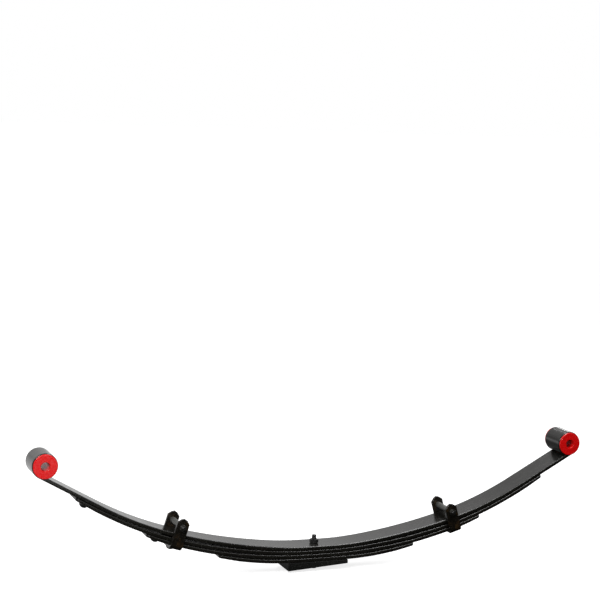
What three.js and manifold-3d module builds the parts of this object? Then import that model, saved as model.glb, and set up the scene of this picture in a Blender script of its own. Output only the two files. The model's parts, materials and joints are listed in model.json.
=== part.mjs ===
// A four-leaf automotive leaf spring: main leaf with two upturned eyes, three shorter
// leaves, a tapered axle shim, a centre bolt, two rebound clips and split polyurethane
// eye bushings. Millimetres, +X forwards, +Y across, +Z up. The origin is the centre of
// the locating head that the centre bolt puts into the axle seat.
import * as THREE from 'three';
import { mergeVertices } from 'three/addons/utils/BufferGeometryUtils.js';
import Module from 'manifold-3d';

const wasm = await Module();
wasm.setup();

// ---- Driving dimensions -------------------------------------------------------------
const GAP = 0.3;                  // air between pieces that touch
const LEAF_WIDTH = 63.5;          // 2.5 in spring steel
const LEAF_THICK = 8.2;           // 0.323 in gauge
const EDGE_ROUND = 1.2;           // rounded rolled edge of each leaf
const MAIN_HALF = 655;            // centre bolt to the start of the eye, along the leaf
const SHORT_HALVES = [562, 390, 224];   // second, third and fourth leaf
// Each of them is free of the leaf above between the clamped middle and its tip.
const NIP = { clamped: 30, gaps: [2.4, 1.6, 1.5], touches: [533, 361, 210] };
// Camber of the main leaf's upper face, outwards from the centre: [length, radius].
const CAMBER = [[25, Infinity], [75, 700], [220, 1350], [188, 800], [Infinity, Infinity]];
const STATION = 20;               // spacing of the flats that a curved leaf is made of
const TIP = { taper: 45, thick: 6.2, cutLength: 5, cutWidth: 5 };

const EYE = { bore: 19.05, wrap: 308, step: 11 };       // radius, degrees, degrees
const BUSHING = { flange: 25.8, flangeThick: 3.5, barrel: 18.6, bore: 9.5, round: 1.2 };

const SHIM = { length: 139.7, middle: 13, taper: 4 };   // the thick end is at the rear
const BOLT = { shank: 5, hole: 5.35, head: 8, headDrop: 9, counterbore: 1.8, end: 74 };
const NUT = { acrossFlats: 17, height: 8.4 };

const PAD = { fromTip: 29, disc: 9, discThick: 1.5, shank: 6, dome: 9.7, domeHeight: 7.5 };
const PADDED = 2;                 // the second and third leaf have pads

// Heights of a clip are from the third leaf's upper face.
const CLIP = {
  station: 324, width: 27, thick: 6, bend: 4, sideGap: 1.25, earTop: 54,
  cornerCut: 7.5, peak: 2, boltHeight: 35,
};
const CLIP_BOLT = { shank: 4, hole: 4.35, acrossFlats: 13, head: 5.3, nut: 6.5, tail: 3 };
const SPACER_OUTER = 6.5;
const RIVET = { shank: 4.5, hole: 4.85, head: 9.5, headHeight: 7.5, foot: 7.4, footThick: 2 };

const ROUND = 32;                 // sides of a large round piece
const SMALL_ROUND = 24;           // sides of a small one

// ---- Derived heights ----------------------------------------------------------------
const PITCH = LEAF_THICK + GAP;
const SHIM_TOP = BOLT.headDrop + SHIM.middle;
const MAIN_TOP = SHIM_TOP + GAP + 4 * LEAF_THICK + 3 * GAP;
const HALF_WIDTH = LEAF_WIDTH / 2;
const FLANGE_FACE = HALF_WIDTH + GAP + BUSHING.flangeThick;

// ---- Materials ----------------------------------------------------------------------
const finish = (color, roughness, metalness) => (
  new THREE.MeshStandardMaterial({ color, roughness, metalness })
);
const LEAF_PAINT = finish(0x1a1b1c, 0.32, 0.2);
const SHIM_STEEL = finish(0x26282a, 0.45, 0.5);
const CLIP_PAINT = finish(0x16140f, 0.35, 0.3);
const BOLT_BLACK = finish(0x121212, 0.4, 0.6);
const ZINC = finish(0x8b8b86, 0.38, 0.8);
const RED_POLY = finish(0xc8141a, 0.4, 0);
const PAD_NYLON = finish(0x2a2c2a, 0.55, 0);

// ---- Solids -------------------------------------------------------------------------
function solidOf(geometry) {
  const bare = geometry.clone();
  bare.deleteAttribute('normal');
  bare.deleteAttribute('uv');
  const merged = mergeVertices(bare, 1e-4);
  return new wasm.Manifold(new wasm.Mesh({
    numProp: 3,
    vertProperties: new Float32Array(merged.attributes.position.array),
    triVerts: new Uint32Array(merged.index.array),
  }));
}

function geometryOf(solid) {
  const { vertProperties, triVerts } = solid.getMesh();
  const geometry = new THREE.BufferGeometry();
  geometry.setAttribute('position', new THREE.BufferAttribute(vertProperties, 3));
  geometry.setIndex(new THREE.BufferAttribute(triVerts, 1));
  geometry.computeVertexNormals();
  return geometry;
}

function cut(geometry, cutters) {
  return geometryOf(cutters.reduce((body, cutter) => body.subtract(solidOf(cutter)),
    solidOf(geometry)));
}

function join(...geometries) {
  const [first, ...rest] = geometries.map(solidOf);
  return geometryOf(rest.reduce((body, piece) => body.add(piece), first));
}

// A side profile in X and Z, pulled across Y about the middle of the spring.
function sideProfile(points, width, edge = 0) {
  const options = { depth: width - 2 * edge, bevelEnabled: edge > 0, bevelSegments: 1 };
  if (edge > 0) {
    Object.assign(options, { bevelThickness: edge, bevelSize: edge, bevelOffset: -edge });
  }
  const geometry = new THREE.ExtrudeGeometry(new THREE.Shape(points), options);
  geometry.translate(0, 0, edge - width / 2);
  return geometry.rotateX(Math.PI / 2);
}

// A plan outline in X and Y, pulled up from one height to another.
function planProfile(points, low, high) {
  const options = { depth: high - low, bevelEnabled: false };
  return new THREE.ExtrudeGeometry(new THREE.Shape(points), options).translate(0, 0, low);
}

const points2 = (pairs) => pairs.map(([a, b]) => new THREE.Vector2(a, b));

// Turned about Y, from [radius, height] pairs; a ring's profile closes on itself.
const turned = (pairs, sides) => new THREE.LatheGeometry(points2(pairs), sides);
const turnedUpright = (pairs, sides) => turned(pairs, sides).rotateX(Math.PI / 2);

const ring = (outer, inner, low, high) => [
  [inner, low], [outer, low], [outer, high], [inner, high], [inner, low],
];
const rod = (radius, low, high) => [[0, low], [radius, low], [radius, high], [0, high]];

function hexagon(acrossFlats) {
  const corner = acrossFlats / Math.sqrt(3);
  return Array.from({ length: 6 }, (_, i) => [
    corner * Math.cos(i * Math.PI / 3), corner * Math.sin(i * Math.PI / 3)]);
}

const hexBlock = (acrossFlats, low, high) => (
  planProfile(points2(hexagon(acrossFlats)), low, high)
);
const hexNut = (acrossFlats, low, high, hole) => cut(hexBlock(acrossFlats, low, high),
  [turnedUpright(rod(hole, low - 1, high + 1), SMALL_ROUND)]);

// ---- The main leaf's upper face -----------------------------------------------------
// At the signed distance s along the leaf from the centre bolt: place and slope.
function topLine(s) {
  let x = 0;
  let z = MAIN_TOP;
  let slope = 0;
  let left = Math.abs(s);
  for (const [length, radius] of CAMBER) {
    const run = Math.min(left, length);
    const turn = run / radius;
    if (turn > 0) {
      x += radius * (Math.sin(slope + turn) - Math.sin(slope));
      z += radius * (Math.cos(slope) - Math.cos(slope + turn));
    } else {
      x += run * Math.cos(slope);
      z += run * Math.sin(slope);
    }
    slope += turn;
    left -= run;
  }
  return { x: Math.sign(s) * x, z, slope: Math.sign(s) * slope };
}

// A point at a depth below that face, square to it.
function below(s, depth) {
  const { x, z, slope } = topLine(s);
  return [x + Math.sin(slope) * depth, z - Math.cos(slope) * depth];
}

// How far the leaf of that order hangs below a tight stack at s, and how fast that grows
// outwards.
function nip(order, s) {
  let drop = 0;
  let growth = 0;
  for (let i = 0; i < order; i += 1) {
    const length = NIP.touches[i] - NIP.clamped;
    const share = THREE.MathUtils.clamp((Math.abs(s) - NIP.clamped) / length, 0, 1);
    drop += NIP.gaps[i] * Math.sin(Math.PI * share) ** 2;
    growth += NIP.gaps[i] * (Math.PI / length) * Math.sin(2 * Math.PI * share);
  }
  return { drop, growth };
}

// A point at a depth below the upper face of the leaf of that order.
const belowLeaf = (order, s, depth) => below(s, order * PITCH + nip(order, s).drop + depth);

// The frame that sits on that face at s, its X along the leaf.
function frameAt(order, s) {
  const [x, z] = belowLeaf(order, s, 0);
  const slope = topLine(s).slope - Math.sign(s) * nip(order, s).growth;
  return new THREE.Matrix4().makeRotationY(-slope).setPosition(x, 0, z);
}

function groupAt(order, s) {
  const group = new THREE.Group();
  group.applyMatrix4(frameAt(order, s));
  return group;
}

function stations(half) {
  const inner = Math.ceil(half / STATION) - 1;
  const middle = Array.from({ length: 2 * inner + 1 }, (_, i) => (i - inner) * STATION);
  return [-half, ...middle, half];
}

function eyeCentre(side) {
  const [x, z] = below(side * MAIN_HALF, -EYE.bore);
  return { x, z };
}

// Round the eye from the leaf, over the top and back down to the end of the roll.
function eyeArc(side, radius) {
  const { x, z } = eyeCentre(side);
  const { slope } = topLine(MAIN_HALF);
  const steps = EYE.wrap / EYE.step;
  return Array.from({ length: steps }, (_, i) => {
    const turn = slope - Math.PI / 2 + (i + 1) * THREE.MathUtils.degToRad(EYE.step);
    return [x + side * radius * Math.cos(turn), z + radius * Math.sin(turn)];
  });
}

// ---- Leaves -------------------------------------------------------------------------
const boltHole = (radius) => turnedUpright(rod(radius, -5, 95), SMALL_ROUND);

function mainLeaf() {
  const along = stations(MAIN_HALF);
  const outer = EYE.bore + LEAF_THICK;
  const outline = [
    ...eyeArc(-1, EYE.bore).reverse(),
    ...along.map((s) => below(s, 0)),
    ...eyeArc(1, EYE.bore),
    ...eyeArc(1, outer).reverse(),
    ...along.map((s) => below(s, LEAF_THICK)).reverse(),
    ...eyeArc(-1, outer),
  ];
  return cut(sideProfile(points2(outline), LEAF_WIDTH, EDGE_ROUND), [boltHole(BOLT.hole)]);
}

function thickness(s, half) {
  const towardsTip = Math.max(0, Math.abs(s) - (half - TIP.taper)) / TIP.taper;
  return LEAF_THICK - towardsTip * (LEAF_THICK - TIP.thick);
}

// The wedge that clips one corner off a leaf's tip.
function cornerCutter(half, side, flank) {
  const reach = 8;
  const rise = TIP.cutWidth / TIP.cutLength;
  const corner = [
    [-TIP.cutLength - reach, HALF_WIDTH + reach * rise],
    [reach, HALF_WIDTH - TIP.cutWidth - reach * rise],
    [reach, HALF_WIDTH + 2 * reach],
    [-TIP.cutLength - reach, HALF_WIDTH + 2 * reach],
  ].map(([x, y]) => [side * x, flank * y]);
  return planProfile(points2(corner), -60, 20).applyMatrix4(frameAt(0, side * half));
}

function padSeat(order, half, side) {
  const through = turnedUpright(rod(PAD.shank + GAP, -30, 5), SMALL_ROUND);
  const recess = turnedUpright(rod(PAD.disc + GAP, -PAD.discThick - GAP, 5), SMALL_ROUND);
  return [through, recess].map(
    (tool) => tool.applyMatrix4(frameAt(order, side * (half - PAD.fromTip))));
}

function rivetSeat(side) {
  const through = turnedUpright(rod(RIVET.hole, -30, 5), SMALL_ROUND);
  const recess = turnedUpright(
    rod(RIVET.foot + GAP, -RIVET.footThick - 2 * GAP, 5), SMALL_ROUND);
  return [through, recess].map(
    (tool) => tool.applyMatrix4(frameAt(2, side * CLIP.station)));
}

function shortLeaf(order, half, holes = []) {
  const along = stations(half);
  const outline = [
    ...along.map((s) => belowLeaf(order, s, 0)),
    ...along.map((s) => belowLeaf(order, s, thickness(s, half))).reverse(),
  ];
  const corners = [-1, 1].flatMap((side) => [-1, 1].map(
    (flank) => cornerCutter(half, side, flank)));
  const seats = order <= PADDED ? [-1, 1].flatMap((side) => padSeat(order, half, side)) : [];
  return cut(sideProfile(points2(outline), LEAF_WIDTH, EDGE_ROUND),
    [boltHole(BOLT.hole), ...corners, ...seats, ...holes]);
}

// A nylon button in a leaf's tip: flush disc above, snap-in dome below.
function tipPad(half) {
  const under = -thickness(half - PAD.fromTip - PAD.dome, half) - GAP;
  const dome = Array.from({ length: 5 }, (_, i) => {
    const turn = (i * Math.PI) / 8;
    return [PAD.dome * Math.sin(turn), under - PAD.domeHeight * Math.cos(turn)];
  });
  return turnedUpright([
    ...dome, [PAD.shank, under], [PAD.shank, -PAD.discThick],
    [PAD.disc, -PAD.discThick], [PAD.disc, 0], [0, 0],
  ], SMALL_ROUND);
}

// ---- Axle seat and centre bolt ------------------------------------------------------
function axleShim() {
  const half = SHIM.length / 2;
  const drop = half * Math.tan(THREE.MathUtils.degToRad(SHIM.taper));
  const outline = [
    [-half, BOLT.headDrop - drop], [half, BOLT.headDrop + drop],
    [half, SHIM_TOP], [-half, SHIM_TOP],
  ];
  const recess = turnedUpright(
    rod(BOLT.head + GAP, -20, BOLT.headDrop + BOLT.counterbore), SMALL_ROUND);
  return cut(sideProfile(points2(outline), LEAF_WIDTH, 1), [boltHole(BOLT.hole), recess]);
}

function centreBolt() {
  const headTop = BOLT.headDrop + BOLT.counterbore - GAP;
  const chamfer = 1;
  return turnedUpright([
    [0, 0], [BOLT.head - chamfer, 0], [BOLT.head, chamfer], [BOLT.head, headTop],
    [BOLT.shank, headTop], [BOLT.shank, BOLT.end - chamfer],
    [BOLT.shank - chamfer, BOLT.end], [0, BOLT.end],
  ], SMALL_ROUND);
}

const centreNut = () => hexNut(NUT.acrossFlats, MAIN_TOP + GAP,
  MAIN_TOP + GAP + NUT.height, BOLT.hole);

// ---- Rebound clips, in the frame of their place on the third leaf --------------------
const EAR_INNER = HALF_WIDTH + CLIP.sideGap;
const EAR_OUTER = EAR_INNER + CLIP.thick;
const STRAP_TOP = -PITCH;
const STRAP_BOTTOM = STRAP_TOP - CLIP.thick;

// The bent strap's section across the spring, in Y and Z.
function strapSection() {
  const section = new THREE.Shape();
  const outerBend = CLIP.bend + CLIP.thick;
  section.moveTo(-EAR_OUTER, CLIP.earTop);
  section.lineTo(-EAR_OUTER, STRAP_BOTTOM + outerBend);
  section.absarc(-EAR_OUTER + outerBend, STRAP_BOTTOM + outerBend, outerBend,
    Math.PI, 1.5 * Math.PI);
  section.absarc(EAR_OUTER - outerBend, STRAP_BOTTOM + outerBend, outerBend,
    1.5 * Math.PI, 2 * Math.PI);
  section.lineTo(EAR_OUTER, CLIP.earTop);
  section.lineTo(EAR_INNER, CLIP.earTop);
  section.absarc(EAR_INNER - CLIP.bend, STRAP_TOP + CLIP.bend, CLIP.bend,
    0, -0.5 * Math.PI, true);
  section.absarc(-EAR_INNER + CLIP.bend, STRAP_TOP + CLIP.bend, CLIP.bend,
    -0.5 * Math.PI, -Math.PI, true);
  section.lineTo(-EAR_INNER, CLIP.earTop);
  return section;
}

function earCorner(side) {
  const half = CLIP.width / 2;
  return sideProfile(points2([
    [side * half * 1.5, CLIP.earTop + 9], [0, CLIP.earTop + 9], [0, CLIP.earTop],
    [side * (half - CLIP.cornerCut), CLIP.earTop - CLIP.peak],
    [side * half, CLIP.earTop - CLIP.peak - CLIP.cornerCut],
    [side * half * 1.5, CLIP.earTop - CLIP.peak - CLIP.cornerCut * 2],
  ]), 4 * EAR_OUTER);
}

function clipStrap() {
  const options = { depth: CLIP.width, bevelEnabled: false, curveSegments: 6 };
  const strap = new THREE.ExtrudeGeometry(strapSection(), options)
    .translate(0, 0, -CLIP.width / 2)
    .rotateX(Math.PI / 2)
    .rotateZ(Math.PI / 2);
  const crossHole = turned(rod(CLIP_BOLT.hole, -60, 60), SMALL_ROUND)
    .translate(0, 0, CLIP.boltHeight);
  const rivetHole = turnedUpright(rod(RIVET.hole, STRAP_BOTTOM - 5, STRAP_TOP + 5),
    SMALL_ROUND);
  return cut(strap, [crossHole, rivetHole, earCorner(1), earCorner(-1)]);
}

function clipRivet() {
  const headTop = STRAP_BOTTOM - GAP;
  const top = -GAP;
  const head = Array.from({ length: 4 }, (_, i) => {
    const turn = (i * Math.PI) / 6;
    return [RIVET.head * Math.sin(turn), headTop - RIVET.headHeight * Math.cos(turn)];
  });
  return turnedUpright([
    ...head, [RIVET.shank, headTop], [RIVET.shank, top - RIVET.footThick],
    [RIVET.foot, top - RIVET.footThick], [RIVET.foot, top], [0, top],
  ], SMALL_ROUND);
}

// Lies across the spring: the head is on the +Y side and the nut on the -Y side.
const acrossSpring = (geometry) => (
  geometry.rotateX(-Math.PI / 2).translate(0, 0, CLIP.boltHeight)
);

function clipBolt() {
  const headFace = EAR_OUTER + GAP;
  const end = EAR_OUTER + GAP + CLIP_BOLT.nut + CLIP_BOLT.tail;
  const chamfer = 0.8;
  const shank = turnedUpright([
    [0, -end], [CLIP_BOLT.shank - chamfer, -end], [CLIP_BOLT.shank, chamfer - end],
    [CLIP_BOLT.shank, headFace + 1], [0, headFace + 1],
  ], SMALL_ROUND);
  const head = hexBlock(CLIP_BOLT.acrossFlats, headFace, headFace + CLIP_BOLT.head);
  return acrossSpring(join(shank, head));
}

const clipNut = () => acrossSpring(hexNut(CLIP_BOLT.acrossFlats,
  -EAR_OUTER - GAP - CLIP_BOLT.nut, -EAR_OUTER - GAP, CLIP_BOLT.hole));

const clipSpacer = () => turned(
  ring(SPACER_OUTER, CLIP_BOLT.hole, GAP - EAR_INNER, EAR_INNER - GAP), SMALL_ROUND)
  .translate(0, 0, CLIP.boltHeight);

// ---- Eye bushings, about Y -----------------------------------------------------------
function bushingHalf(flank) {
  const { flange, barrel, bore, round } = BUSHING;
  const shoulder = HALF_WIDTH + GAP;
  const profile = [
    [bore, GAP / 2], [barrel - round, GAP / 2], [barrel, GAP / 2 + round],
    [barrel, shoulder], [flange, shoulder], [flange, FLANGE_FACE - round],
    [flange - round, FLANGE_FACE], [bore + round / 2, FLANGE_FACE],
    [bore, FLANGE_FACE - round / 2], [bore, GAP / 2],
  ];
  const half = turned(profile, ROUND);
  return flank > 0 ? half : half.rotateX(Math.PI);
}

// ---- Assembly -----------------------------------------------------------------------
const spring = new THREE.Group();

function add(name, geometry, material, parent = spring) {
  const mesh = new THREE.Mesh(geometry, material);
  mesh.name = name;
  parent.add(mesh);
}

const LEAF_NAMES = ['second', 'third', 'fourth'];
const ENDS = [['rear', -1], ['front', 1]];

add('main_leaf', mainLeaf(), LEAF_PAINT);
LEAF_NAMES.forEach((name, index) => {
  const rivetSeats = name === 'third' ? ENDS.flatMap(([, side]) => rivetSeat(side)) : [];
  add(`${name}_leaf`, shortLeaf(index + 1, SHORT_HALVES[index], rivetSeats), LEAF_PAINT);
});
add('axle_shim', axleShim(), SHIM_STEEL);
add('center_bolt', centreBolt(), BOLT_BLACK);
add('center_bolt_nut', centreNut(), BOLT_BLACK);

for (const [end, side] of ENDS) {
  LEAF_NAMES.slice(0, PADDED).forEach((name, index) => {
    const half = SHORT_HALVES[index];
    const place = groupAt(index + 1, side * (half - PAD.fromTip));
    add(`${end}_${name}_leaf_pad`, tipPad(half), PAD_NYLON, place);
    spring.add(place);
  });

  const clip = groupAt(2, side * CLIP.station);
  add(`${end}_clip_strap`, clipStrap(), CLIP_PAINT, clip);
  add(`${end}_clip_rivet`, clipRivet(), CLIP_PAINT, clip);
  add(`${end}_clip_bolt`, clipBolt(), BOLT_BLACK, clip);
  add(`${end}_clip_nut`, clipNut(), BOLT_BLACK, clip);
  add(`${end}_clip_spacer`, clipSpacer(), ZINC, clip);
  spring.add(clip);

  const eye = new THREE.Group();
  const centre = eyeCentre(side);
  eye.position.set(centre.x, 0, centre.z);
  add(`${end}_bushing_near`, bushingHalf(-1), RED_POLY, eye);
  add(`${end}_bushing_far`, bushingHalf(1), RED_POLY, eye);
  spring.add(eye);
}

export default spring;
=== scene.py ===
"""Looks for a four-leaf suspension spring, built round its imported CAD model.

Shapes are worked out in millimetres, in the row frame: X along the spring towards the
thin end of the axle shim, Y across the leaves, Z up. Meshes are stored in metres.
"""
import json
import math

import bmesh
import bpy
from mathutils import Matrix, Vector


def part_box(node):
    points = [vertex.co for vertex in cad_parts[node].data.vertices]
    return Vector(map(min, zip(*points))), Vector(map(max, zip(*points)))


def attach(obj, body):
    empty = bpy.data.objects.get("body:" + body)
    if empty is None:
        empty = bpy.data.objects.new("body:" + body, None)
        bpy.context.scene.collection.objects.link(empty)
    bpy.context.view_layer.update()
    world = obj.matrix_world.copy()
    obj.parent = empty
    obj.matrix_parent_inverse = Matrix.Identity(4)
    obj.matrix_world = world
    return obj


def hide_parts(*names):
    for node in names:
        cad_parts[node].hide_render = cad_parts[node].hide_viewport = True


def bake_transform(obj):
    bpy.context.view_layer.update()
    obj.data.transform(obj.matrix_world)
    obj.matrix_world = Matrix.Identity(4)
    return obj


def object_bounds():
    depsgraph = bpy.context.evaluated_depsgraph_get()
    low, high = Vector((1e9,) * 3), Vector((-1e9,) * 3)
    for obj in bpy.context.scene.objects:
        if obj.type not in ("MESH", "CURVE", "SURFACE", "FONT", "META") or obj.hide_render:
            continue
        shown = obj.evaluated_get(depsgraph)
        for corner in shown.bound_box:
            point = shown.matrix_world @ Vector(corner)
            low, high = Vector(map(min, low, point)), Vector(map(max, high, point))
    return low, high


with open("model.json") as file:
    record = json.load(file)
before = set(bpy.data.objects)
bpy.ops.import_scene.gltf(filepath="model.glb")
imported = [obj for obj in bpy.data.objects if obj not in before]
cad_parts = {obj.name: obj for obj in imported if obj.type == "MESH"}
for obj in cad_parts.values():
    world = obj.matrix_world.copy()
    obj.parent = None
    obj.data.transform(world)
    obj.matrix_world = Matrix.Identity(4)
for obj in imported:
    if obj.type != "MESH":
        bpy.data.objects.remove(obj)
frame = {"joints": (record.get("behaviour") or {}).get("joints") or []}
cad_low, cad_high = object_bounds()

MM = 0.001
JOINTS = {joint["name"]: joint for joint in frame["joints"]}
ENDS = (("rear", -1), ("front", 1))


def box_mm(node):
    low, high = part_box(node)
    return low / MM, high / MM


# ---- Sizes, from the CAD model where it has them ---------------------------------------
GAP = 0.3
HALF_WIDTH = box_mm("second_leaf")[1].y
LEAF_THICK = 8.2
PITCH = LEAF_THICK + GAP
MAIN_TOP = box_mm("center_bolt_nut")[0].z - GAP
MAIN_HALF = 655.0
SHORT_HALVES = {"second": 562.0, "third": 390.0, "fourth": 224.0}
NIP_FROM = 30.0                 # each short leaf is free of the one above from here
NIPS = ((2.4, 533.0), (1.6, 361.0), (1.5, 210.0))      # to here: (gap, place it touches)
CAMBER = ((25, math.inf), (75, 700), (220, 1350), (188, 800), (math.inf, math.inf))
EYE_BORE = 19.05
EYE_WRAP = 308.0
TIP = dict(taper=45.0, thick=6.2, cut_length=5.0, cut_width=5.0)
PAD_FROM_TIP = 29.0
PADDED = ("second", "third")    # the leaves that carry a pad near each tip
CLIP_STATION = 324.0
SHIM_TAPER = math.radians(4)
EDGE = 1.9                      # radius of a leaf's rolled edge
HOLLOW = 0.12                   # the rolled faces are this much lower in the middle
STATION = 6.0                   # distance between a leaf's cross sections

# Radii of the bores and seats in the leaves, and the depths of the seats.
CENTRE_BORE = 5.35
PAD_BORE, PAD_SEAT, PAD_SEAT_DEPTH = 6.3, 9.3, 1.8
RIVET_BORE, RIVET_SEAT, RIVET_SEAT_DEPTH = 5.9, 8.8, 2.6    # wide: the clip slips at full bend

PAD = dict(radius=9.7, dome=7.5, shank=6.0, disc=9.0, disc_thick=1.5)
RIVET = dict(shank=4.5, head=9.5, head_height=7.5, foot=7.4, foot_thick=2.0)
BUSHING = dict(bore=9.5, barrel=18.6, flange=25.8)
CENTRE_BOLT = dict(radius=5.0, pitch=1.5, thread_from=56.0, chamfer=0.9, head=8.0, head_height=9.0)
CENTRE_NUT = dict(across=17.0, bore=5.3)
CLIP_BOLT = dict(radius=4.0, pitch=1.25, chamfer=0.7, across=13.0, head_height=5.3, past_nut=3.0)
CLIP_NUT = dict(across=13.0, bore=4.3, height=6.5)
SPACER = dict(radius=6.5, bore=4.35)

CLIP_WIDTH, CLIP_THICK, CLIP_BEND, EAR_TOP = 27.0, 6.0, 4.0, 54.0
EAR_INNER = HALF_WIDTH + 1.25
EAR_OUTER = EAR_INNER + CLIP_THICK
STRAP_TOP = -PITCH              # clip heights are from the third leaf's upper face
BOLT_HEIGHT = 35.0


# ---- The main leaf's upper face --------------------------------------------------------
def top_line(s):
    """Place and slope of that face at the signed distance s along the leaf."""
    x, z, slope, left = 0.0, MAIN_TOP, 0.0, abs(s)
    for length, radius in CAMBER:
        run = min(left, length)
        turn = run / radius
        if turn > 0:
            x += radius * (math.sin(slope + turn) - math.sin(slope))
            z += radius * (math.cos(slope) - math.cos(slope + turn))
        else:
            x += run * math.cos(slope)
            z += run * math.sin(slope)
        slope += turn
        left -= run
    side = -1 if s < 0 else 1
    return side * x, z, side * slope


def below(s, depth):
    x, z, slope = top_line(s)
    return x + math.sin(slope) * depth, z - math.cos(slope) * depth


def nip(order, s):
    """How far the leaf of that order hangs below a tight stack, and the growth outwards."""
    drop = growth = 0.0
    for gap, touches in NIPS[:order]:
        length = touches - NIP_FROM
        share = min(1.0, max(0.0, (abs(s) - NIP_FROM) / length))
        drop += gap * math.sin(math.pi * share) ** 2
        growth += gap * math.pi / length * math.sin(2 * math.pi * share)
    return drop, growth


def below_leaf(order, s, depth):
    return below(s, order * PITCH + nip(order, s)[0] + depth)


def frame_at(order, s):
    """The matrix that stands a piece on that leaf's upper face, its X along the leaf."""
    x, z = below_leaf(order, s, 0)
    slope = top_line(s)[2] - math.copysign(1, s) * nip(order, s)[1]
    return Matrix.Translation((x, 0, z)) @ Matrix.Rotation(-slope, 4, "Y")


def eye_centre(side):
    x, z = below(side * MAIN_HALF, -EYE_BORE)
    return Vector((x, 0, z))


# ---- Mesh makers -----------------------------------------------------------------------
def fillet(points, radii, steps=4, closed=True):
    """The polyline with its corners rounded; a radius of 0 keeps a corner."""
    out, count = [], len(points)
    for i, point in enumerate(points):
        here, radius = Vector(point), radii[i] if hasattr(radii, "__len__") else radii
        if radius <= 0 or (not closed and i in (0, count - 1)):
            out.append(tuple(here))
            continue
        before = (Vector(points[i - 1]) - here).normalized()
        after = (Vector(points[(i + 1) % count]) - here).normalized()
        half = before.angle(after) / 2
        reach = radius / math.tan(half)
        centre = here + (before + after).normalized() * radius / math.sin(half)
        a, b = here + before * reach - centre, here + after * reach - centre
        sweep = math.atan2(a.x * b.y - a.y * b.x, a.dot(b))
        for k in range(steps + 1):
            turn = Matrix.Rotation(sweep * k / steps, 2)
            out.append(tuple(centre + turn @ a))
    return out


def make(name, verts, faces, material, matrix=None, sharp=32):
    """A piece from vertices in millimetres, shaded smooth up to an angle."""
    mesh = bpy.data.meshes.new(name)
    place = (matrix or Matrix.Identity(4)).copy()
    mesh.from_pydata([tuple((place @ Vector(v)) * MM) for v in verts], [], faces)
    shaped = bmesh.new()
    shaped.from_mesh(mesh)
    bmesh.ops.remove_doubles(shaped, verts=shaped.verts, dist=1e-6)
    bmesh.ops.recalc_face_normals(shaped, faces=shaped.faces)
    shaped.to_mesh(mesh)
    shaped.free()
    piece = bpy.data.objects.new(name, mesh)
    bpy.context.scene.collection.objects.link(piece)
    if material is not None:
        mesh.materials.append(material)
        finish_shading(piece, sharp)
    return piece


def finish_shading(piece, sharp=32):
    piece.data.shade_smooth()
    piece.data.set_sharp_from_angle(angle=math.radians(sharp))
    weighted = piece.modifiers.new("Weighted", "WEIGHTED_NORMAL")
    weighted.keep_sharp = True
    weighted.weight = 60


def loft(sections):
    """Vertices and faces of a bar through sections with equal point counts."""
    count = len(sections[0])
    verts = [point for section in sections for point in section]
    faces = []
    for k in range(len(sections) - 1):
        for i in range(count):
            j = (i + 1) % count
            faces.append((k * count + i, k * count + j, (k + 1) * count + j, (k + 1) * count + i))
    last = (len(sections) - 1) * count
    faces.append(tuple(reversed(range(count))))
    faces.append(tuple(range(last, last + count)))
    return verts, faces


def lathe(profile, sides, closed=False):
    """Vertices and faces turned about Z from (radius, height) pairs."""
    verts, faces, rings = [], [], []
    for radius, height in profile:
        if radius < 1e-6:
            rings.append([len(verts)] * sides)
            verts.append((0, 0, height))
            continue
        rings.append(list(range(len(verts), len(verts) + sides)))
        for k in range(sides):
            turn = 2 * math.pi * k / sides
            verts.append((radius * math.cos(turn), radius * math.sin(turn), height))
    pairs = list(zip(rings, rings[1:] + ([rings[0]] if closed else [])))
    for low, high in pairs[:len(rings) if closed else len(rings) - 1]:
        for k in range(sides):
            n = (k + 1) % sides
            corners = [low[k], low[n], high[n], high[k]]
            kept = [c for i, c in enumerate(corners) if c != corners[i - 1]]
            if len(kept) > 2:
                faces.append(tuple(kept))
    return verts, faces


def cut(piece, *cutters):
    """Takes the cutters away from the piece, and removes them."""
    for cutter in cutters:
        tool = piece.modifiers.new("Cut", "BOOLEAN")
        tool.operation, tool.solver, tool.object = "DIFFERENCE", "EXACT", cutter
    order = [m for m in piece.modifiers if m.type == "WEIGHTED_NORMAL"]
    for weighted in order:
        piece.modifiers.remove(weighted)
    bpy.context.view_layer.update()
    graph = bpy.context.evaluated_depsgraph_get()
    piece.data = bpy.data.meshes.new_from_object(piece.evaluated_get(graph))
    piece.modifiers.clear()
    for cutter in cutters:
        bpy.data.objects.remove(cutter)
    finish_shading(piece)
    return piece


def drill(radius, low, high, matrix=None, sides=40):
    """A cutter: an upright rod."""
    return make("drill", *lathe([(0, low), (radius, low), (radius, high), (0, high)], sides),
                None, matrix)


def ring_profile(outer, inner, low, high, round_by):
    corners = [(inner, low), (outer, low), (outer, high), (inner, high)]
    return fillet(corners, round_by, 4)


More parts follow.
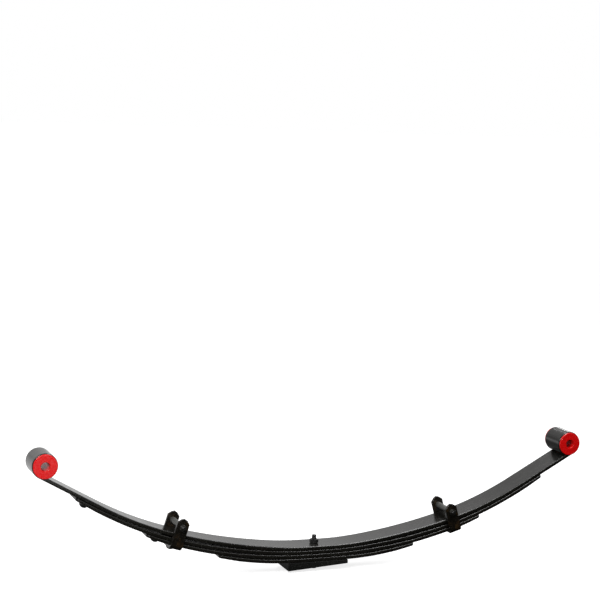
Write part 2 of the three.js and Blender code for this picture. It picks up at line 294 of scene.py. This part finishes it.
# ---- Node materials --------------------------------------------------------------------
class Surface:
    """A Principled material whose detail comes from noise in the row frame."""

    def __init__(self, name):
        self.material = bpy.data.materials.new(name)
        self.material.use_nodes = True
        self.tree = self.material.node_tree
        self.shader = self.tree.nodes["Principled BSDF"]
        self.place = self.tree.nodes.new("ShaderNodeTexCoord").outputs["Object"]

    def set(self, **values):
        for key, value in values.items():
            self.shader.inputs[key.replace("_", " ")].default_value = value
        return self

    def stretched(self, scale):
        node = self.tree.nodes.new("ShaderNodeMapping")
        node.inputs["Scale"].default_value = scale
        self.tree.links.new(self.place, node.inputs["Vector"])
        return node.outputs["Vector"]

    def noise(self, scale, detail=4.0, rough=0.55, stretch=None, distortion=0.0):
        node = self.tree.nodes.new("ShaderNodeTexNoise")
        node.inputs["Scale"].default_value = scale
        node.inputs["Detail"].default_value = detail
        node.inputs["Roughness"].default_value = rough
        node.inputs["Distortion"].default_value = distortion
        source = self.stretched(stretch) if stretch else self.place
        self.tree.links.new(source, node.inputs["Vector"])
        return node.outputs["Fac"]

    def ramp(self, value, *stops):
        node = self.tree.nodes.new("ShaderNodeValToRGB")
        node.color_ramp.elements[0].position = stops[0][0]
        node.color_ramp.elements[-1].position = stops[-1][0]
        for position, _ in stops[1:-1]:
            node.color_ramp.elements.new(position)
        for element, (_, colour) in zip(node.color_ramp.elements, stops):
            grey = (colour,) * 3 if not hasattr(colour, "__len__") else colour
            element.color = (*grey, 1)
        self.tree.links.new(value, node.inputs["Fac"])
        return node.outputs["Color"]

    def mix(self, mask, first, second, how="MIX"):
        node = self.tree.nodes.new("ShaderNodeMix")
        node.data_type, node.blend_type = "RGBA", how
        for socket, value in ((node.inputs[0], mask), (node.inputs[6], first),
                              (node.inputs[7], second)):
            if hasattr(value, "links"):
                self.tree.links.new(value, socket)
            elif hasattr(value, "__len__"):
                socket.default_value = (*value, 1)
            else:
                socket.default_value = value
        return node.outputs[2]

    def level(self, value, low, high):
        node = self.tree.nodes.new("ShaderNodeMapRange")
        node.inputs["To Min"].default_value = low
        node.inputs["To Max"].default_value = high
        node.inputs["From Min"].default_value = 0.3
        node.inputs["From Max"].default_value = 0.7
        self.tree.links.new(value, node.inputs["Value"])
        return node.outputs["Result"]

    def feed(self, socket, value):
        self.tree.links.new(value, self.shader.inputs[socket])
        return self

    def bump(self, *layers):
        """Each layer is (height, strength, depth in millimetres)."""
        normal = None
        for height, strength, depth in layers:
            node = self.tree.nodes.new("ShaderNodeBump")
            node.inputs["Strength"].default_value = strength
            node.inputs["Distance"].default_value = depth * MM
            self.tree.links.new(height, node.inputs["Height"])
            if normal is not None:
                self.tree.links.new(normal, node.inputs["Normal"])
            normal = node.outputs["Normal"]
        return self.feed("Normal", normal)


def black_paint(name, base, dusty, rough=(0.13, 0.24), rust_and_sheen=None, peel=0.3):
    """Sprayed gloss paint on rolled steel: orange peel, dust and long rolling marks."""
    skin = Surface(name)
    patches = skin.noise(22, 6, 0.6)
    dust = skin.ramp(skin.noise(340, 5, 0.7), (0.56, 0), (0.74, 1))
    streaks = skin.noise(60, 4, 0.6, stretch=(0.06, 1, 1))
    colour = skin.mix(skin.ramp(patches, (0.35, 0), (0.7, 1)), base, dusty)
    colour = skin.mix(dust, colour, tuple(5 * c for c in dusty))
    # Optional brown spots scattered at random: partly rust, partly a painted reflection standing in
    # for the gold-brown sheen on the clip's ear edges.
    if rust_and_sheen is not None:
        rust_and_sheen_spots = skin.ramp(skin.noise(55, 5, 0.65, distortion=0.6), (0.52, 0), (0.66, 1))
        colour = skin.mix(rust_and_sheen_spots, colour, rust_and_sheen)
    skin.feed("Base Color", colour)
    skin.feed("Roughness", skin.level(skin.noise(90, 5, 0.65), *rough))
    skin.bump((streaks, 0.25, 0.5), (skin.noise(170, 3, 0.5), 0.3, 0.12),
              (skin.noise(480, 3, 0.5), peel, 0.05))
    skin.set(IOR=1.5)
    return skin.material


def moulded(name, base, light, rough, specular=0.5):
    """Moulded polymer: faint flow clouds, fine mould grain and a little dust."""
    skin = Surface(name)
    clouds = skin.noise(35, 4, 0.5, distortion=0.4)
    colour = skin.mix(skin.ramp(clouds, (0.3, 0), (0.72, 1)), base, light)
    specks = skin.ramp(skin.noise(900, 2, 0.5), (0.68, 0), (0.76, 1))
    colour = skin.mix(specks, colour, tuple(min(1, 1.25 * c + 0.01) for c in light))
    skin.feed("Base Color", colour)
    skin.feed("Roughness", skin.level(skin.noise(160, 4, 0.6), *rough))
    skin.bump((skin.noise(700, 4, 0.6), 0.35, 0.06), (skin.noise(40, 2, 0.5), 0.2, 0.5))
    skin.set(Specular_IOR_Level=specular)
    return skin.material


def bare_metal(name, base, worn, rough, metallic, grain=(1, 0.04, 1)):
    """Plated or oxide-coated steel with turning marks and worn patches."""
    skin = Surface(name)
    wear = skin.ramp(skin.noise(120, 6, 0.65, distortion=0.3), (0.42, 0), (0.7, 1))
    skin.feed("Base Color", skin.mix(wear, base, worn))
    skin.feed("Roughness", skin.level(skin.noise(260, 4, 0.6), *rough))
    skin.bump((skin.noise(520, 3, 0.5, stretch=grain), 0.3, 0.06),
              (skin.noise(75, 4, 0.6), 0.25, 0.25))
    skin.set(Metallic=metallic)
    return skin.material


PAINT = black_paint("leaf_paint", (0.0046, 0.0043, 0.0034), (0.0085, 0.008, 0.0066))
SHIM = black_paint("shim_paint", (0.0058, 0.0059, 0.0054), (0.0105, 0.0107, 0.0098), (0.2, 0.32))
# The clip's brown spots are partly rust and partly a painted gold-brown sheen.
CLIP = black_paint("clip_paint", (0.0042, 0.0037, 0.0028), (0.0075, 0.0065, 0.0047),
                   (0.12, 0.26), rust_and_sheen=(0.026, 0.0155, 0.0065), peel=0.6)
OXIDE = bare_metal("black_oxide", (0.006, 0.006, 0.006), (0.014, 0.0135, 0.0125),
                   (0.24, 0.4), 0.15)
TUBE = bare_metal("zinc_tube", (0.13, 0.132, 0.124), (0.08, 0.082, 0.075), (0.34, 0.5), 0.6)
NUT = bare_metal("worn_nut", (0.012, 0.012, 0.010), (0.08, 0.079, 0.07), (0.26, 0.4), 0.4)
RED = moulded("red_polyurethane", (0.6, 0.002, 0.003), (0.64, 0.005, 0.005), (0.2, 0.32), 0.5)
NYLON = moulded("black_nylon", (0.012, 0.0125, 0.012), (0.02, 0.021, 0.02), (0.4, 0.55))


# ---- Leaves ----------------------------------------------------------------------------
def leaf_section(half_width, thick, inset=0.0):
    """(y, depth) round a leaf: rolled edges and faintly hollow faces."""
    y, low, high = half_width - inset, inset, thick - inset
    edge = max(0.2, min(EDGE, y * 0.45, (high - low) * 0.45))
    outline = fillet([(-y, low), (y, low), (y, high), (-y, high)], edge, 5)
    count = len(outline) // 4
    faces = []
    for corner in range(4):
        faces += outline[corner * count:(corner + 1) * count]
        if corner in (0, 2):
            sign, level = (1, low) if corner == 0 else (-1, high)
            dip = HOLLOW * (1 if corner == 0 else -1) * (1 - inset / EDGE)
            for share in (-0.94, -0.8, -0.5, 0, 0.5, 0.8, 0.94):
                faces.append((sign * share * (y - edge), level + dip * (1 - share * share)))
    return faces


def end_insets(steps=4):
    """(distance from the end, inset) round the end of a bar."""
    return [(EDGE * (1 - math.sin(k * math.pi / 2 / steps)),
             EDGE * (1 - math.cos(k * math.pi / 2 / steps)))
            for k in range(steps, -1, -1)][::-1]


def leaf_half(name, order, half, side, material):
    """One half of a leaf, from the centre bolt out to its tip."""
    taper, cut_length = TIP["taper"], TIP["cut_length"]

    def width(s):
        return HALF_WIDTH - TIP["cut_width"] * max(0, s - half + cut_length) / cut_length

    def thick(s):
        return LEAF_THICK - (LEAF_THICK - TIP["thick"]) * max(0, s - half + taper) / taper

    places = [(k * STATION, 0.0) for k in range(int((half - taper - 2) / STATION) + 1)]
    places += [(half - d, 0.0) for d in (taper, 36, 27, 18, 10, 5.3, 4.8, 3.2)]
    places += [(half - distance, inset) for distance, inset in end_insets()]
    sections = []
    for s, inset in places:
        section = leaf_section(width(s), thick(s), inset)
        sections.append([(*below_leaf(order, side * s, depth), y) for y, depth in section])
    upright = [[(x, y, z) for x, z, y in section] for section in sections]
    return make(name, *loft(upright), material)


def main_half(name, side, material):
    """Half of the main leaf, with its eye."""
    sections, runs = [], int(MAIN_HALF / STATION)
    for k in range(runs + 1):
        s = side * k * MAIN_HALF / runs
        sections.append([(below(s, depth), y) for y, depth in leaf_section(HALF_WIDTH, LEAF_THICK)])
    centre, (_, _, slope) = eye_centre(side), top_line(MAIN_HALF)
    reach = EYE_BORE + LEAF_THICK / 2
    end, steps = math.radians(EYE_WRAP), 84
    turns = [(end * k / steps, 0.0) for k in range(1, steps)]
    turns = [t for t in turns if t[0] < end - EDGE * 1.3 / reach]
    turns += [(end - distance / reach, inset) for distance, inset in end_insets()]
    for turn, inset in turns:
        angle = slope - math.pi / 2 + turn
        section = []
        for y, depth in leaf_section(HALF_WIDTH, LEAF_THICK, inset):
            radius = EYE_BORE + depth
            section.append(((centre.x + side * radius * math.cos(angle),
                             centre.z + radius * math.sin(angle)), y))
        sections.append(section)
    upright = [[(x, y, z) for (x, z), y in section] for section in sections]
    return make(name, *loft(upright), material)


def bend(piece):
    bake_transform(piece)


def seat_cutters(bore, seat, seat_depth, place):
    """Cutters for a hole through a leaf and for the wider seat at its upper face."""
    return [drill(bore, -20, 5, place), drill(seat, -seat_depth, 5, place)]


for end, side in ENDS:
    half = main_half(f"main_leaf_{end}_half", side, PAINT)
    cut(half, drill(CENTRE_BORE, MAIN_TOP - 15, MAIN_TOP + 8))
    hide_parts("main_leaf")
    bend(half)
    for order, (name, length) in enumerate(SHORT_HALVES.items(), 1):
        half = leaf_half(f"{name}_leaf_{end}_half", order, length, side, PAINT)
        top = MAIN_TOP - order * PITCH
        tools = [drill(CENTRE_BORE, top - 15, top + 8)]
        if name in PADDED:
            place = frame_at(order, side * (length - PAD_FROM_TIP))
            tools += seat_cutters(PAD_BORE, PAD_SEAT, PAD_SEAT_DEPTH, place)
        if name == "third":
            place = frame_at(order, side * CLIP_STATION)
            tools += seat_cutters(RIVET_BORE, RIVET_SEAT, RIVET_SEAT_DEPTH, place)
        cut(half, *tools)
        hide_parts(f"{name}_leaf")
        bend(half)


# ---- Tip pads --------------------------------------------------------------------------
def tip_pad(name, matrix):
    """A dome below the leaf, a shank through it and a disc in its upper face."""
    radius, shank, disc, disc_low = PAD["radius"], PAD["shank"], PAD["disc"], -PAD["disc_thick"]
    share = (TIP["taper"] - PAD_FROM_TIP - radius) / TIP["taper"]
    under = share * (LEAF_THICK - TIP["thick"]) - LEAF_THICK - GAP
    dome = [(radius * math.sin(k * math.pi / 18), under - PAD["dome"] * math.cos(k * math.pi / 18))
            for k in range(9)]
    profile = dome + fillet(
        [dome[-1], (radius, under), (shank, under), (shank, disc_low), (disc, disc_low),
         (disc, 0), (0, 0)],
        [0, 0.5, 0, 0, 0.2, 0.4, 0], 3, closed=False)[1:]
    return make(name, *lathe(profile, 40), NYLON, matrix)


for end, side in ENDS:
    for order, name in enumerate(PADDED, 1):
        place = frame_at(order, side * (SHORT_HALVES[name] - PAD_FROM_TIP))
        pad = tip_pad(f"{end}_{name}_pad", place)
        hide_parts(f"{end}_{name}_leaf_pad")
        bend(pad)


# ---- Threads, nuts and bolts -----------------------------------------------------------
def threaded_rod(radius, low, high, pitch, thread_from, chamfer, sides=36, per_turn=8):
    """A rod whose upper part carries a true helical thread."""
    depth = 0.54 * pitch
    heights = [low]
    height = thread_from
    while height < high - 1e-6:
        heights.append(height)
        height += pitch / per_turn
    heights.append(high)
    rows = []
    for height in heights:
        row = []
        for k in range(sides):
            share = k / sides
            phase = (height / pitch - share) % 1
            groove = depth * max(0.0, 1 - abs(phase - 0.5) / 0.42)
            fade = min(1.0, max(0.0, (height - thread_from) / pitch))
            here = radius - groove * fade
            here = min(here, radius - chamfer + (high - height))
            turn = 2 * math.pi * share
            row.append((here * math.cos(turn), here * math.sin(turn), height))
        rows.append(row)
    return loft(rows)


def hex_ring(across, low, high, hole, sides=72, bottom=True):
    """A hexagon with its corners turned off at the faces; hole is 0 for a bolt head."""
    def reach(turn):
        return across / 2 / math.cos((turn + math.pi / 6) % (math.pi / 3) - math.pi / 6)

    flat = across / 2 * 0.95
    fall = math.tan(math.radians(30))
    rings = []
    for k in range(sides):
        turn = 2 * math.pi * k / sides
        far = reach(turn)
        drop = (far - flat) * fall
        column = [(flat * 0.97, high), (flat, high), (far, high - drop)]
        column += ([(far, low + drop), (flat, low), (flat * 0.97, low)] if bottom
                   else [(far, low), (flat, low)])
        if hole:
            column = [(hole, low + 1.0), (hole, high - 1.0), (hole + 0.9, high)] + column
            column.append((hole + 0.9, low))
        rings.append([(r * math.cos(turn), r * math.sin(turn), z) for r, z in column])
    count = len(rings[0])
    verts = [v for ring in rings for v in ring]
    faces = []
    for k in range(sides):
        n = (k + 1) % sides
        for i in range(count if hole else count - 1):
            j = (i + 1) % count
            faces.append((k * count + i, n * count + i, n * count + j, k * count + j))
    if not hole:
        faces.append(tuple(k * count for k in range(sides)))
        faces.append(tuple(k * count + count - 1 for k in reversed(range(sides))))
    return verts, faces


def joined(*parts):
    verts, faces = [], []
    for more_verts, more_faces in parts:
        faces += [tuple(i + len(verts) for i in face) for face in more_faces]
        verts += more_verts
    return verts, faces


HEAD_SEAT = 1.8                 # the locating head goes this far into the shim


def centre_bolt(name):
    """The locating head, whose end face is at height 0, and the threaded stud."""
    radius, top = CENTRE_BOLT["head"], CENTRE_BOLT["head_height"] + HEAD_SEAT - GAP
    head = fillet([(0, 0), (radius, 0), (radius, top), (0, top)], [0, 1.1, 0.3, 0], 4, closed=False)
    stud = threaded_rod(CENTRE_BOLT["radius"], top - 0.5, box_mm("center_bolt")[1].z,
                        CENTRE_BOLT["pitch"], CENTRE_BOLT["thread_from"], CENTRE_BOLT["chamfer"])
    return make(name, *joined(lathe(head, 48), stud), OXIDE)


bolt = centre_bolt("centre_bolt")
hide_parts("center_bolt")
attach(bolt, "leaf_pack")

nut_low, nut_high = box_mm("center_bolt_nut")
nut = make("centre_bolt_hex_nut",
           *hex_ring(CENTRE_NUT["across"], nut_low.z, nut_high.z, CENTRE_NUT["bore"]), OXIDE,
           sharp=24)
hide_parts("center_bolt_nut")
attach(nut, "leaf_pack")


# ---- Axle shim -------------------------------------------------------------------------
def axle_shim():
    """A wedge whose lower face slopes, with the bolt's bore and the head's seat."""
    low, high = box_mm("axle_shim")
    drop, seat = high.x * math.tan(SHIM_TAPER), CENTRE_BOLT["head_height"]
    side_view = fillet(
        [(low.x, seat - drop), (high.x, seat + drop), (high.x, high.z), (low.x, high.z)],
        [1.2, 1.2, 1.0, 1.0], 4)
    sections = []
    for y, inset in ((-high.y, 1.0), (-high.y + 0.3, 0.35), (-high.y + 1.0, 0), (-high.y + 3, 0),
                     (high.y - 3, 0), (high.y - 1.0, 0), (high.y - 0.3, 0.35), (high.y, 1.0)):
        mid_z = (seat + high.z) / 2
        sections.append([(x * (1 - inset / high.x), y, mid_z + (z - mid_z) * (1 - inset / 7))
                         for x, z in side_view])
    shim = make("tapered_axle_shim", *loft(sections), SHIM)
    return cut(shim, drill(CENTRE_BORE, -5, 40),
               drill(CENTRE_BOLT["head"] + GAP, -20, seat + HEAD_SEAT))


shim = axle_shim()
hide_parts("axle_shim")
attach(shim, "leaf_pack")


# ---- Rebound clips ---------------------------------------------------------------------
EAR_CUT, EAR_PEAK = 7.5, 2.0    # heights of the clipped corners and of the blunt peak


def ear_width(height):
    """Half width of an ear, which narrows towards its peak."""
    corner = EAR_TOP - EAR_PEAK
    shoulder = corner - EAR_CUT
    if height <= shoulder:
        return CLIP_WIDTH / 2
    if height <= corner:
        return CLIP_WIDTH / 2 - (height - shoulder)
    return 5.2 - 4.6 * (height - corner) / EAR_PEAK


def across_ears(matrix):
    """The matrix that lays a piece along the cross bolt, its Z towards the near side."""
    upright = matrix @ Matrix.Translation((0, 0, BOLT_HEIGHT))
    return upright @ Matrix.Rotation(math.pi / 2, 4, "X")


def clip_strap(name, matrix):
    """A U of flat bar: stations (inner point, outer point, half width) from ear to ear."""
    heights = [STRAP_TOP + CLIP_BEND, 6, 20, 32, EAR_TOP - 9.6, EAR_TOP - 9.2, EAR_TOP - 7,
               EAR_TOP - 4.5, EAR_TOP - 2.2, EAR_TOP - 1.8, EAR_TOP - 0.8, EAR_TOP]
    stations = [((EAR_INNER, z), (EAR_OUTER, z), ear_width(z)) for z in reversed(heights)]
    centre = (EAR_INNER - CLIP_BEND, STRAP_TOP + CLIP_BEND)
    for k in range(1, 13):
        turn = -math.pi / 2 * k / 12
        direction = (math.cos(turn), math.sin(turn))
        inner, outer = [(centre[0] + r * direction[0], centre[1] + r * direction[1])
                        for r in (CLIP_BEND, CLIP_BEND + CLIP_THICK)]
        stations.append((inner, outer, CLIP_WIDTH / 2))
    stations.append(((14, STRAP_TOP), (14, STRAP_TOP - CLIP_THICK), CLIP_WIDTH / 2))
    mirrored = [((-a[0], a[1]), (-b[0], b[1]), w) for a, b, w in reversed(stations)]
    sections = []
    for inner, outer, half in stations + mirrored:
        edge = min(1.1, half * 0.4)
        ring = fillet([(-half, 0), (half, 0), (half, CLIP_THICK), (-half, CLIP_THICK)], edge, 4)
        section = []
        for x, depth in ring:
            share = depth / CLIP_THICK
            section.append((x, inner[0] + (outer[0] - inner[0]) * share,
                            inner[1] + (outer[1] - inner[1]) * share))
        sections.append(section)
    strap = make(name, *loft(sections), CLIP, matrix)
    return cut(strap, drill(CLIP_BOLT["radius"] + 0.35, -60, 60, across_ears(matrix)),
               drill(RIVET["shank"] + 0.35, STRAP_TOP - 20, STRAP_TOP + 5, matrix))


def clip_rivet(name, matrix):
    """A domed head below the strap, and a foot let into the third leaf."""
    radius, shank, foot = RIVET["head"], RIVET["shank"], RIVET["foot"]
    head_top, top = STRAP_TOP - CLIP_THICK - GAP, -GAP
    foot_low = top - RIVET["foot_thick"]
    head = [(radius * math.sin(k * math.pi / 20),
             head_top - RIVET["head_height"] * math.cos(k * math.pi / 20)) for k in range(10)]
    upper = fillet([(radius, head_top), (shank, head_top), (shank, foot_low), (foot, foot_low),
                    (foot, top), (0, top)], [0, 0, 0, 0.3, 0.5, 0], 3, closed=False)
    return make(name, *lathe(head + upper, 40), CLIP, matrix)


def clip_bolt(name, matrix):
    """The head is on the +Y side, and the thread's end is on the -Y side."""
    face, high = EAR_OUTER + GAP, CLIP_BOLT["head_height"]
    end = face + CLIP_NUT["height"] + CLIP_BOLT["past_nut"]
    rod = threaded_rod(CLIP_BOLT["radius"], -face - 1, end, CLIP_BOLT["pitch"], face - 3,
                       CLIP_BOLT["chamfer"], 32)
    head = hex_ring(CLIP_BOLT["across"], -face - high, -face, 0, bottom=False)
    upside = ([(x, -y, -z - 2 * face - high) for x, y, z in head[0]], head[1])
    return make(name, *joined(rod, upside), OXIDE, across_ears(matrix), sharp=24)


def clip_nut(name, matrix):
    face = EAR_OUTER + GAP
    ring = hex_ring(CLIP_NUT["across"], face, face + CLIP_NUT["height"], CLIP_NUT["bore"])
    return make(name, *ring, NUT, across_ears(matrix), sharp=24)


def clip_spacer(name, matrix):
    end = EAR_INNER - GAP
    profile = ring_profile(SPACER["radius"], SPACER["bore"], -end, end, 0.5)
    return make(name, *lathe(profile, 40, closed=True), TUBE, across_ears(matrix))


for end, side in ENDS:
    place = frame_at(2, side * CLIP_STATION)
    for piece, node, slot in (
            (clip_strap(f"{end}_rebound_clip", place), "strap", "clip_paint"),
            (clip_rivet(f"{end}_rivet", place), "rivet", "clip_paint"),
            (clip_bolt(f"{end}_cross_bolt", place), "bolt", "bolt_black"),
            (clip_nut(f"{end}_cross_nut", place), "nut", "bolt_black"),
            (clip_spacer(f"{end}_spacer_tube", place), "spacer", "zinc")):
        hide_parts(f"{end}_clip_{node}")
        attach(piece, f"{end}_clip")


# ---- Eye bushings ----------------------------------------------------------------------
def bushing_half(name, end, flank):
    """A flanged polyurethane half, pushed into the eye from one side."""
    centre = Vector(JOINTS[f"{end}_bushing_turn"]["pos_m"]) / MM
    outer = box_mm(f"{end}_bushing_far")[1].y
    shoulder = HALF_WIDTH + GAP
    bore, barrel, flange = BUSHING["bore"], BUSHING["barrel"], BUSHING["flange"]
    profile = fillet(
        [(bore, GAP / 2), (barrel, GAP / 2), (barrel, shoulder), (flange, shoulder),
         (flange, outer), (bore, outer)], [0.4, 1.2, 0.6, 0.5, 1.3, 0.9], 6)
    turn = Matrix.Rotation(flank * -math.pi / 2, 4, "X")
    return make(name, *lathe(profile, 72, closed=True), RED, Matrix.Translation(centre) @ turn)


for end, side in ENDS:
    for label, flank in (("near", -1), ("far", 1)):
        piece = bushing_half(f"{end}_{label}_bushing", end, flank)
        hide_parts(f"{end}_bushing_{label}")
        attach(piece, f"{end}_bushing")


# ---- Studio ----------------------------------------------------------------------------
def area_light(name, place, target, size, energy, colour=(1, 1, 1)):
    data = bpy.data.lights.new(name, "AREA")
    data.shape, data.size, data.size_y = "RECTANGLE", size[0], size[1]
    data.energy, data.color = energy, colour
    light = bpy.data.objects.new(name, data)
    bpy.context.scene.collection.objects.link(light)
    light.location = place
    light.visible_camera = False
    light.rotation_euler = (Vector(target) - Vector(place)).to_track_quat("-Z", "Y").to_euler()
    return light


def world_light():
    """A pale cyclorama behind, darker overhead, and a dimmer sky in front."""
    world = bpy.data.worlds.new("studio")
    bpy.context.scene.world = world
    world.use_nodes = True
    tree = world.node_tree
    tree.nodes.clear()
    place = tree.nodes.new("ShaderNodeTexCoord")
    parts = tree.nodes.new("ShaderNodeSeparateXYZ")
    tree.links.new(place.outputs["Generated"], parts.inputs["Vector"])

    def ramp(socket, *stops):
        node = tree.nodes.new("ShaderNodeValToRGB")
        node.color_ramp.elements[0].position = stops[0][0]
        node.color_ramp.elements[-1].position = stops[-1][0]
        for position, _ in stops[1:-1]:
            node.color_ramp.elements.new(position)
        for element, (_, grey) in zip(node.color_ramp.elements, stops):
            element.color = (grey, grey, grey, 1)
        unit = tree.nodes.new("ShaderNodeMapRange")
        unit.inputs["From Min"].default_value = -1
        tree.links.new(parts.outputs[socket], unit.inputs["Value"])
        tree.links.new(unit.outputs["Result"], node.inputs["Fac"])
        return node.outputs["Color"]

    def blended(how, first, second):
        node = tree.nodes.new("ShaderNodeMix")
        node.data_type, node.blend_type = "RGBA", how
        node.inputs[0].default_value = 1
        tree.links.new(first, node.inputs[6])
        tree.links.new(second, node.inputs[7])
        return node.outputs[2]

    depth = ramp("Y", (0.0, 0.05), (0.35, 0.1), (0.6, 0.9), (1.0, 1.0))
    height = ramp("Z", (0.5, 1.0), (0.56, 0.7), (0.61, 0.92), (0.7, 0.74), (0.85, 0.42), (1.0, 0.3))
    across = ramp("X", (0.22, 0.35), (0.34, 0.95), (0.4, 1.0), (0.55, 1.0), (0.7, 0.82), (1.0, 0.6))
    lit = tree.nodes.new("ShaderNodeBackground")
    lit.inputs["Strength"].default_value = 1.0
    behind = blended("MULTIPLY", blended("MULTIPLY", depth, height), across)
    front = blended("MULTIPLY", ramp("Y", (0.0, 1.0), (0.3, 1.0), (0.5, 0.0)),
                    ramp("Z", (0.5, 0.03), (0.62, 0.4), (0.75, 0.75), (1.0, 0.75)))
    tree.links.new(blended("ADD", behind, front), lit.inputs["Color"])
    plain = tree.nodes.new("ShaderNodeBackground")
    plain.inputs["Color"].default_value = (1, 1, 1, 1)
    path = tree.nodes.new("ShaderNodeLightPath")
    choice = tree.nodes.new("ShaderNodeMixShader")
    tree.links.new(path.outputs["Is Camera Ray"], choice.inputs["Fac"])
    tree.links.new(lit.outputs[0], choice.inputs[1])
    tree.links.new(plain.outputs[0], choice.inputs[2])
    output = tree.nodes.new("ShaderNodeOutputWorld")
    tree.links.new(choice.outputs[0], output.inputs["Surface"])


def pale_floor():
    """A wide plain floor, plain white to the camera and shaded in reflections."""
    size = 40.0
    mesh = bpy.data.meshes.new("floor")
    mesh.from_pydata([(-size, -size, 0), (size, -size, 0), (size, size, 0), (-size, size, 0)],
                     [], [(0, 1, 2, 3)])
    floor = bpy.data.objects.new("floor", mesh)
    floor.location.z = cad_low.z - 0.001
    bpy.context.scene.collection.objects.link(floor)
    skin = Surface("pale_floor")
    skin.feed("Base Color", skin.ramp(skin.noise(3, 2, 0.5), (0.3, 0.48), (0.7, 0.5)))
    skin.set(Roughness=0.9, Specular_IOR_Level=0.1, Emission_Color=(1, 1, 1, 1),
             Emission_Strength=0.78)
    tree = skin.tree
    parts = tree.nodes.new("ShaderNodeSeparateXYZ")
    tree.links.new(skin.place, parts.inputs["Vector"])

    # What the piece mirrors: a bright floor behind it, dim in front and beside the right eye.
    def swept(axis, near, far, from_grey, to_grey):
        node = tree.nodes.new("ShaderNodeMapRange")
        for key, value in (("From Min", near), ("From Max", far), ("To Min", from_grey),
                           ("To Max", to_grey)):
            node.inputs[key].default_value = value
        tree.links.new(parts.outputs[axis], node.inputs["Value"])
        return node.outputs["Result"]

    dim = tree.nodes.new("ShaderNodeEmission")
    tree.links.new(swept("Y", -0.03, 0.25, 0.02, 0.95), dim.inputs["Strength"])
    beside = skin.ramp(swept("X", -0.5, 0.15, 0, 1), (0, 1), (1, 0.15))
    tree.links.new(skin.mix(swept("Y", 1.4, 2.4, 0, 1), beside, (1, 1, 1)), dim.inputs["Color"])
    path = tree.nodes.new("ShaderNodeLightPath")
    choice = tree.nodes.new("ShaderNodeMixShader")
    tree.links.new(path.outputs["Is Camera Ray"], choice.inputs["Fac"])
    tree.links.new(dim.outputs[0], choice.inputs[1])
    tree.links.new(skin.shader.outputs[0], choice.inputs[2])
    tree.links.new(choice.outputs[0], tree.nodes["Material Output"].inputs["Surface"])
    mesh.materials.append(skin.material)


world_light()
pale_floor()
area_light("key", (-1.3, -1.3, 1.3), (-0.5, 0, 0.2), (0.6, 0.6), 31)
area_light("top_strip", (0.9, 1.6, 2.4), (0.3, 0, 0.1), (0.5, 1.6), 30)
area_light("edge_strip", (0.45, -0.75, 2.2), (0.3, 0, 0.1), (1.1, 0.4), 25)
area_light("low_panel", (-0.35, -1.25, 0.003), (-0.35, -1.25, 1), (0.8, 0.45), 2.5)
area_light("eye_panel", (2.15, 2.5, 0.95), (0.61, 0, 0.28), (0.3, 0.25), 1.2)

# ---- Camera ----------------------------------------------------------------------------
camera = bpy.data.objects.new("camera", bpy.data.cameras.new("camera"))
bpy.context.scene.collection.objects.link(camera)
yaw, pitch, roll = 0.37441, 0.12259, 0.03998
ahead = Vector((math.sin(yaw) * math.cos(pitch), math.cos(yaw) * math.cos(pitch), -math.sin(pitch)))
level = Vector((math.cos(yaw), -math.sin(yaw), 0))
upright = level.cross(ahead)
right = math.cos(roll) * level + math.sin(roll) * upright
up = -math.sin(roll) * level + math.cos(roll) * upright
camera.matrix_world = Matrix.Translation((-1.36606, -3.33551, 1.03454)) @ Matrix(
    (right, up, -ahead)).transposed().to_4x4()
camera.data.lens = 101.107
camera.data.sensor_width = 36
camera.data.clip_start, camera.data.clip_end = 0.1, 60
bpy.context.scene.camera = camera
bpy.context.scene.view_settings.view_transform = "Standard"
